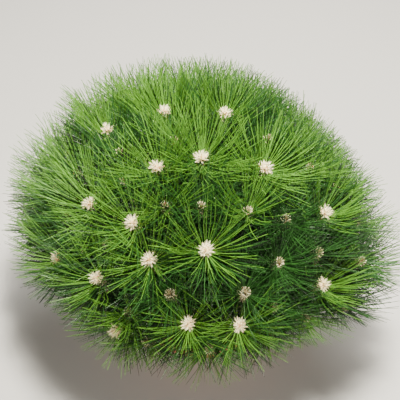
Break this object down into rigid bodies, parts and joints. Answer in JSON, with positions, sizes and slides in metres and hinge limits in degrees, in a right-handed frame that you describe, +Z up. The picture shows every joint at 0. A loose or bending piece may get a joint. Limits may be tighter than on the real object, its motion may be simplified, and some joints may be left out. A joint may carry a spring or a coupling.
{
  "type": "potted dwarf japanese red pine",
  "caption": "Low, mounded dwarf Japanese red pine with long green needles in full rosettes round pale bud clusters, growing in a plain clay pot.",
  "frame": {"origin": "on the floor, at the centre of the clay pot's flat foot", "axes": "+Z up out of the pot; +X to the right and +Y away, as seen from the side that the picture shows"},
  "size_m": [0.5921, 0.5638, 0.4444],
  "materials": {
    "clay": "matt unglazed terracotta",
    "potting_mix": "loose, moist, composted bark",
    "bark": "rough flaking bark",
    "needles": "satin green needles"
  },
  "bodies": {
    "root": {"clay_pot": "clay", "potting_mix": "potting_mix", "trunk": "bark", "bough_01": "bark", "bough_02": "bark", "bough_03": "bark", "bough_04": "bark", "bough_05": "bark", "bough_06": "bark", "bough_07": "bark", "bough_08": "bark", "bough_09": "bark", "bough_10": "bark", "bough_11": "bark", "bough_12": "bark", "bough_13": "bark", "bough_14": "bark", "bough_15": "bark", "bough_16": "bark", "bough_17": "bark", "bough_18": "bark", "bough_19": "bark", "bough_20": "bark", "bough_21": "bark", "bough_22": "bark", "bough_23": "bark", "foliage_01": "needles", "foliage_02": "needles", "foliage_03": "needles", "foliage_04": "needles", "foliage_05": "needles", "foliage_06": "needles", "foliage_07": "needles", "foliage_08": "needles", "foliage_09": "needles", "foliage_10": "needles", "foliage_11": "needles", "foliage_12": "needles", "foliage_13": "needles", "foliage_14": "needles", "foliage_15": "needles", "foliage_16": "needles", "foliage_17": "needles", "foliage_18": "needles", "foliage_19": "needles", "foliage_20": "needles", "foliage_21": "needles", "foliage_22": "needles", "foliage_23": "needles", "foliage_24": "needles"}
  },
  "joints": []
}
